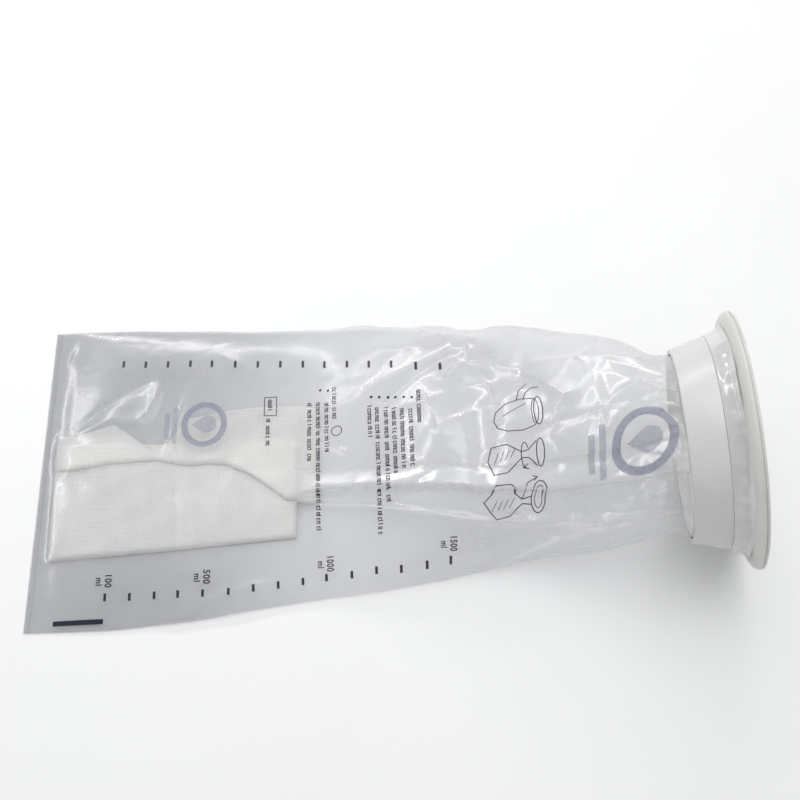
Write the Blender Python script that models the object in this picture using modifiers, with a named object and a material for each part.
"""Disposable fluid-collection bag with a rigid mouth collar, lying flat on a table.

Units are metres and +Z is up. The table is z = 0, the mouth points towards +X, and the origin is at
the centre of the object's footprint. Lengths along the bag are counted from its sealed bottom edge.
"""

import math

import bmesh
import bpy
import numpy as np
from mathutils import Matrix, Vector

MM = 0.001

# Clearance between neighbouring solids, and the wall that stands for the film
GAP = 0.3 * MM
FILM = 0.5 * MM

# Film bag: a flat tube, sealed across its bottom edge
BAG_WIDTH = 162 * MM
SEAL_LENGTH = 6 * MM
SEAL_THICKNESS = 1.0 * MM
PANEL_END = 215 * MM
SHOULDER_END = 275 * MM

# Mouth collar, measured along its own axis from the bag end
COLLAR_START = 309.4 * MM
COLLAR_SIDE = -18 * MM
COLLAR_LENGTH = 28.5 * MM
COLLAR_WALL = 1.6 * MM
RIM_RADIUS = 59 * MM
RIM_EDGE = 0.6 * MM
NECK_RADIUS = 41.4 * MM
NECK_SLOPE = 0.284
STEP_AT = 16.7 * MM
STEP_RADIUS = 48.5 * MM
UPPER_SLOPE = 0.2
FLANGE_START = 23 * MM

# Clamp ring, which grips the film on the neck
CLAMP_WIDTH = 15.5 * MM
CLAMP_THICKNESS = 2.0 * MM
CLAMP_RADIUS = 44.5 * MM
CLAMP_CHAMFER = 0.4 * MM

# Film cuff, the film's end that is turned under the clamp ring and out over the collar
CUFF_THICKNESS = 0.4 * MM
CUFF_END = 22 * MM

# Absorbent pad, loose inside the bag
PAD_START = 12 * MM
PAD_LENGTH = 128 * MM
PAD_LOW_Y = -47 * MM
PAD_HIGH_Y = 33 * MM
PAD_SHEET = 0.5 * MM
PAD_CORE = 2.6 * MM
PAD_CORE_INSET = 4 * MM
PAD_CORNER = 3 * MM

# Facets round the turned parts and round the film tube
TURN_STEPS = 48
TUBE_STEPS = 40

# The collar leans back on its rim, and the film holds its bag end off the table.
TILT = math.radians(11.4)
RIM_TOUCH = (RIM_RADIUS, COLLAR_LENGTH - RIM_EDGE)
COLLAR_HEIGHT = RIM_TOUCH[0] * math.cos(TILT) - RIM_TOUCH[1] * math.sin(TILT)
OVERALL_LENGTH = (
    COLLAR_START
    + COLLAR_LENGTH * math.cos(TILT)
    + (RIM_RADIUS - RIM_EDGE) * math.sin(TILT)
)

# Shape of the film tube at stations along the bag's bottom line, in millimetres. Each section is
# an ellipse over and under its side edges, in a plane that leans back by `lean` degrees.
NECK_END = COLLAR_START + COLLAR_HEIGHT * math.tan(TILT)
FILM_RADIUS = NECK_RADIUS + GAP + CUFF_THICKNESS
FLAT_EDGE = 0.65
NECK_MIDDLE = COLLAR_HEIGHT / math.cos(TILT) / MM
NECK_LOW = NECK_MIDDLE - FILM_RADIUS / MM
STATIONS_MM = {
    # place: (half width, sideways shift, height of the side edges, rise over them, lowest height, lean)
    6: (81, 0, FLAT_EDGE, 0.6, FLAT_EDGE, 0),
    12: (81, 0, FLAT_EDGE, 5.5, FLAT_EDGE, 0),
    30: (80.8, 0, FLAT_EDGE, 9, FLAT_EDGE, 0),
    70: (79.5, 0.5, FLAT_EDGE, 10, FLAT_EDGE, 0),
    130: (74.6, 3.4, FLAT_EDGE, 13, FLAT_EDGE, 0),
    170: (72.3, 5.7, FLAT_EDGE, 25, FLAT_EDGE, 0),
    215: (67, 6.9, FLAT_EDGE, 42, FLAT_EDGE, 0),
    240: (61.8, 4.2, 10, 46, 0, 2),
    275: (54.8, -3.8, 28, 45, 0, 7),
    300: (48, -10.3, 44, 43, 2.5, 10),
    NECK_END / MM: (FILM_RADIUS / MM, COLLAR_SIDE / MM, NECK_MIDDLE, FILM_RADIUS / MM, NECK_LOW, 11.4),
}
SHAPE_NAMES = ("half_width", "shift", "edge", "rise", "lowest", "lean")
STATIONS = {"at": [place * MM for place in STATIONS_MM]}
for column, shape_name in enumerate(SHAPE_NAMES):
    unit = 1 if shape_name == "lean" else MM
    STATIONS[shape_name] = [row[column] * unit for row in STATIONS_MM.values()]

# Pivot line of the film's fold, on the table side of the bag, where the neck lifts off the table
FOLD_AT = 240 * MM
FOLD_HEIGHT = 1 * MM


def origin_shift():
    """Moves lengths counted from the bottom edge to the object's origin."""
    return Vector((-OVERALL_LENGTH / 2, 0, 0))


def clear_scene():
    for item in list(bpy.data.objects):
        bpy.data.objects.remove(item, do_unlink=True)


def new_collection(name):
    collection = bpy.data.collections.new(name)
    bpy.context.scene.collection.children.link(collection)
    return collection


def new_material(name, colour, roughness, alpha=1.0):
    material = bpy.data.materials.new(name)
    material.use_nodes = True
    shader = material.node_tree.nodes["Principled BSDF"]
    shader.inputs["Base Color"].default_value = (*colour, 1)
    shader.inputs["Roughness"].default_value = roughness
    shader.inputs["Metallic"].default_value = 0
    shader.inputs["Alpha"].default_value = alpha
    return material


def new_object(collection, name, mesh, material, parent):
    """Adds one sub-part. Its mesh is in its parent's own frame."""
    item = bpy.data.objects.new(name, mesh)
    mesh.materials.append(material)
    collection.objects.link(item)
    item.parent = parent
    return item


def new_empty(collection, name, location, rotation=(0, 0, 0)):
    empty = bpy.data.objects.new(name, None)
    empty.location = location
    empty.rotation_euler = rotation
    collection.objects.link(empty)
    return empty


def smooth(mesh, angle=35):
    mesh.shade_smooth()
    mesh.set_sharp_from_angle(angle=math.radians(angle))


def station_slope(name, k):
    """The slope at a station: none at an end or beside a level stretch, so the curve never overshoots."""
    at = STATIONS["at"]
    values = STATIONS[name]
    if k in (0, len(at) - 1):
        return 0
    before = (values[k] - values[k - 1]) / (at[k] - at[k - 1])
    after = (values[k + 1] - values[k]) / (at[k + 1] - at[k])
    return 2 * before * after / (before + after) if before * after > 0 else 0


def along(name, place):
    """A section value at `place`, on a smooth curve through the stations."""
    at = STATIONS["at"]
    values = STATIONS[name]
    k = int(np.clip(np.searchsorted(at, place) - 1, 0, len(at) - 2))
    span = at[k + 1] - at[k]
    t = (place - at[k]) / span
    rise = values[k + 1] - values[k]
    leave = t * (1 - t) ** 2 * span * station_slope(name, k)
    arrive = t * t * (t - 1) * span * station_slope(name, k + 1)
    return values[k] + rise * t * t * (3 - 2 * t) + leave + arrive


def section_point(place, angle, lift=0.0):
    """A point on the film tube. Angles 0 to pi run over the top, pi to 2 pi under the bottom."""
    side = math.cos(angle)
    up = math.sin(angle)
    reach = along("rise", place) if up > 0 else along("edge", place) - along("lowest", place)
    height = along("edge", place) + reach * up + lift
    lean = math.radians(along("lean", place))
    return Vector(
        (
            place - height * math.sin(lean),
            along("shift", place) + along("half_width", place) * side,
            height * math.cos(lean),
        )
    )


def loft(name, rows, around, origin):
    """An open surface through rows of points. `around` joins each row's last point to its first."""
    shape = bmesh.new()
    grid = [[shape.verts.new(point + origin_shift() - origin) for point in row] for row in rows]
    count = len(rows[0])
    for lower, upper in zip(grid, grid[1:]):
        for k in range(count if around else count - 1):
            n = (k + 1) % count
            shape.faces.new((lower[k], lower[n], upper[n], upper[k]))
    mesh = bpy.data.meshes.new(name)
    shape.to_mesh(mesh)
    shape.free()
    return mesh


def thicken(item, thickness, offset):
    shell = item.modifiers.new("wall", "SOLIDIFY")
    shell.thickness = thickness
    shell.offset = offset
    shell.use_even_offset = False
    shell.use_rim = True


def turn(item):
    spin = item.modifiers.new("turn", "SCREW")
    spin.axis = "Z"
    spin.steps = TURN_STEPS
    spin.render_steps = TURN_STEPS
    spin.use_merge_vertices = True
    spin.merge_threshold = 0.00001
    spin.use_smooth_shade = True


def profile_mesh(name, points):
    """A closed profile of (radius, height) points. It runs down its outer side, top to bottom."""
    mesh = bpy.data.meshes.new(name)
    count = len(points)
    edges = [(k, (k + 1) % count) for k in range(count)]
    mesh.from_pydata([(radius, 0, height) for radius, height in points], edges, [])
    return mesh


def neck_outside(height):
    """Outer radius of the collar's neck: a seat for the clamp ring, a step, and the upper neck."""
    if height < STEP_AT:
        return NECK_RADIUS + NECK_SLOPE * height
    return STEP_RADIUS + UPPER_SLOPE * (height - STEP_AT)


def flange_arc(start_radius, start_height, end_radius, end_height, count=6):
    """Points along the flange, which leaves the neck steeply and then curves towards the mouth."""
    points = []
    for k in range(count + 1):
        angle = math.radians(90) * k / count
        points.append(
            (
                start_radius + (end_radius - start_radius) * math.sin(angle),
                start_height + (end_height - start_height) * (1 - math.cos(angle)),
            )
        )
    return points


def collar_profile():
    flange_top = COLLAR_LENGTH - 2 * RIM_EDGE
    outer_flange = flange_arc(neck_outside(FLANGE_START), FLANGE_START, RIM_RADIUS, flange_top)
    inner_start = FLANGE_START + COLLAR_WALL
    inner_flange = flange_arc(
        neck_outside(FLANGE_START) - COLLAR_WALL, inner_start, RIM_RADIUS - COLLAR_WALL, COLLAR_LENGTH
    )
    outer = [(RIM_RADIUS - RIM_EDGE, COLLAR_LENGTH), (RIM_RADIUS, COLLAR_LENGTH - RIM_EDGE)]
    outer += outer_flange[::-1]
    outer += [
        (neck_outside(STEP_AT), STEP_AT + 0.3 * MM),
        (NECK_RADIUS + NECK_SLOPE * STEP_AT, STEP_AT),
        (NECK_RADIUS, 0),
    ]
    inner = [
        (NECK_RADIUS - COLLAR_WALL, 0),
        (NECK_RADIUS + NECK_SLOPE * STEP_AT - COLLAR_WALL, STEP_AT),
    ]
    return outer + inner + inner_flange


def clamp_profile():
    far_radius = CLAMP_RADIUS + NECK_SLOPE * CLAMP_WIDTH
    inside = CLAMP_THICKNESS
    near_edge = (CLAMP_RADIUS + NECK_SLOPE * CLAMP_CHAMFER, CLAMP_CHAMFER)
    return [
        (far_radius - CLAMP_CHAMFER, CLAMP_WIDTH),
        (far_radius - NECK_SLOPE * CLAMP_CHAMFER, CLAMP_WIDTH - CLAMP_CHAMFER),
        near_edge,
        (CLAMP_RADIUS - CLAMP_CHAMFER, 0),
        (CLAMP_RADIUS - inside, 0),
        (far_radius - inside, CLAMP_WIDTH),
    ]


def cuff_profile():
    """The film's sleeve on the neck, the turn over the collar's step, and the loose end beyond it."""
    step_low = CLAMP_WIDTH + GAP
    step_high = STEP_AT - GAP
    loose = STEP_RADIUS + GAP
    seat = NECK_RADIUS + GAP
    return [
        (loose + CUFF_THICKNESS + UPPER_SLOPE * (CUFF_END - STEP_AT), CUFF_END),
        (loose + CUFF_THICKNESS, step_low),
        (seat + CUFF_THICKNESS + NECK_SLOPE * step_low, step_low),
        (seat + CUFF_THICKNESS, GAP),
        (seat, GAP),
        (seat + NECK_SLOPE * step_high, step_high),
        (loose, step_high),
        (loose + UPPER_SLOPE * (CUFF_END - STEP_AT), CUFF_END),
    ]


def places(start, end, count):
    return [start + (end - start) * k / count for k in range(count + 1)]


def build_panels(collection, film, root):
    """The upper and lower plies of the flat part of the bag, and the weld across its bottom edge."""
    start = SEAL_LENGTH + GAP
    stations = places(start, 36 * MM, 5)[:-1] + places(36 * MM, PANEL_END - GAP, 12)
    half_turn = [math.pi * k / (TUBE_STEPS // 2) for k in range(TUBE_STEPS // 2 + 1)]

    top_rows = [[section_point(place, angle, GAP / 2) for angle in half_turn] for place in stations]
    top = new_object(collection, "film_front_panel", loft("front", top_rows, False, root.location), film, root)
    thicken(top, FILM, 1)
    smooth(top.data)

    low_rows = [[section_point(place, angle, -GAP / 2) for angle in (0, math.pi / 2, math.pi)] for place in stations]
    for row in low_rows:
        for point in row:
            point.z = along("edge", SEAL_LENGTH) - GAP / 2
    low = new_object(collection, "film_back_panel", loft("back", low_rows, False, root.location), film, root)
    thicken(low, FILM, -1)

    shape = bmesh.new()
    bmesh.ops.create_cube(shape, size=1)
    centre = Vector((SEAL_LENGTH / 2, 0, SEAL_THICKNESS / 2)) + origin_shift() - root.location
    size = Matrix.Diagonal((SEAL_LENGTH, BAG_WIDTH, SEAL_THICKNESS, 1))
    bmesh.ops.transform(shape, matrix=Matrix.Translation(centre) @ size, verts=shape.verts)
    mesh = bpy.data.meshes.new("seal")
    shape.to_mesh(mesh)
    shape.free()
    new_object(collection, "bottom_seal", mesh, film, root)


def build_tube(collection, name, film, parent, start, end, count):
    """A stretch of the film tube, open at both ends."""
    turns = [2 * math.pi * k / TUBE_STEPS for k in range(TUBE_STEPS)]
    rows = [[section_point(place, angle) for angle in turns] for place in places(start, end, count)]
    item = new_object(collection, name, loft(name, rows, True, parent.location), film, parent)
    thicken(item, FILM, -1)
    smooth(item.data)
    return item


def build_collar(collection, plastic, clamp_plastic, film, axis):
    collar = new_object(collection, "mouth_collar", profile_mesh("collar", collar_profile()), plastic, axis)
    turn(collar)
    clamp = new_object(collection, "clamp_ring", profile_mesh("clamp", clamp_profile()), clamp_plastic, axis)
    turn(clamp)
    cuff = new_object(collection, "film_cuff", profile_mesh("cuff", cuff_profile()), film, axis)
    turn(cuff)


def rounded_slab(name, length, width, thickness, corner):
    """A flat rectangle with round corners, as a filled curve."""
    curve = bpy.data.curves.new(name, "CURVE")
    curve.dimensions = "2D"
    curve.fill_mode = "BOTH"
    curve.extrude = thickness / 2
    spline = curve.splines.new("POLY")
    points = []
    for quarter in range(4):
        middle_x = (length / 2 - corner) * (1 if quarter in (0, 3) else -1)
        middle_y = (width / 2 - corner) * (1 if quarter in (0, 1) else -1)
        for k in range(4):
            angle = math.radians(90 * quarter + 30 * k)
            points.append((middle_x + corner * math.cos(angle), middle_y + corner * math.sin(angle), 0, 1))
    spline.points.add(len(points) - 1)
    for place, point in zip(spline.points, points):
        place.co = point
    spline.use_cyclic_u = True
    return curve


def build_pad(collection, cover, core, pad_axis):
    """Cover sheet, absorbent core and backing sheet, one on the other."""
    width = PAD_HIGH_Y - PAD_LOW_Y
    floor = along("edge", SEAL_LENGTH) + GAP / 2
    backing_middle = floor + PAD_SHEET / 2
    core_middle = backing_middle + PAD_SHEET / 2 + GAP + PAD_CORE / 2
    cover_middle = core_middle + PAD_CORE / 2 + GAP + PAD_SHEET / 2
    inset = 2 * PAD_CORE_INSET
    layers = (
        ("pad_backing_sheet", PAD_LENGTH, width, PAD_SHEET, backing_middle, cover),
        ("pad_core", PAD_LENGTH - inset, width - inset, PAD_CORE, core_middle, core),
        ("pad_cover_sheet", PAD_LENGTH, width, PAD_SHEET, cover_middle, cover),
    )
    for name, length, across, thickness, height, material in layers:
        slab = new_object(
            collection, name, rounded_slab(name, length, across, thickness, PAD_CORNER), material, pad_axis
        )
        slab.location = (0, 0, height)


def build():
    clear_scene()
    collection = new_collection("fluid_collection_bag")

    film = new_material("clear_film", (0.80, 0.81, 0.83), 0.15, 0.45)
    plastic = new_material("collar_plastic", (0.84, 0.84, 0.80), 0.35)
    clamp_plastic = new_material("clamp_plastic", (0.87, 0.87, 0.86), 0.30)
    cover = new_material("pad_tissue", (0.88, 0.88, 0.84), 0.90)
    core = new_material("pad_fluff", (0.91, 0.90, 0.87), 0.95)

    root = new_empty(collection, "bag_frame", (0, 0, 0))
    fold = new_empty(collection, "fold_axis", Vector((FOLD_AT, 0, FOLD_HEIGHT)) + origin_shift())
    collar_centre = Vector((COLLAR_START, COLLAR_SIDE, COLLAR_HEIGHT)) + origin_shift()
    collar_axis = new_empty(collection, "collar_axis", collar_centre, (0, math.radians(90) - TILT, 0))
    pad_middle = Vector((PAD_START + PAD_LENGTH / 2, (PAD_LOW_Y + PAD_HIGH_Y) / 2, 0))
    pad_axis = new_empty(collection, "pad_axis", pad_middle + origin_shift())

    build_panels(collection, film, root)
    build_tube(collection, "film_shoulder", film, root, PANEL_END, SHOULDER_END, 5)
    build_tube(collection, "film_neck", film, fold, SHOULDER_END + GAP, NECK_END - GAP, 6)
    build_collar(collection, plastic, clamp_plastic, film, collar_axis)
    build_pad(collection, cover, core, pad_axis)


build()
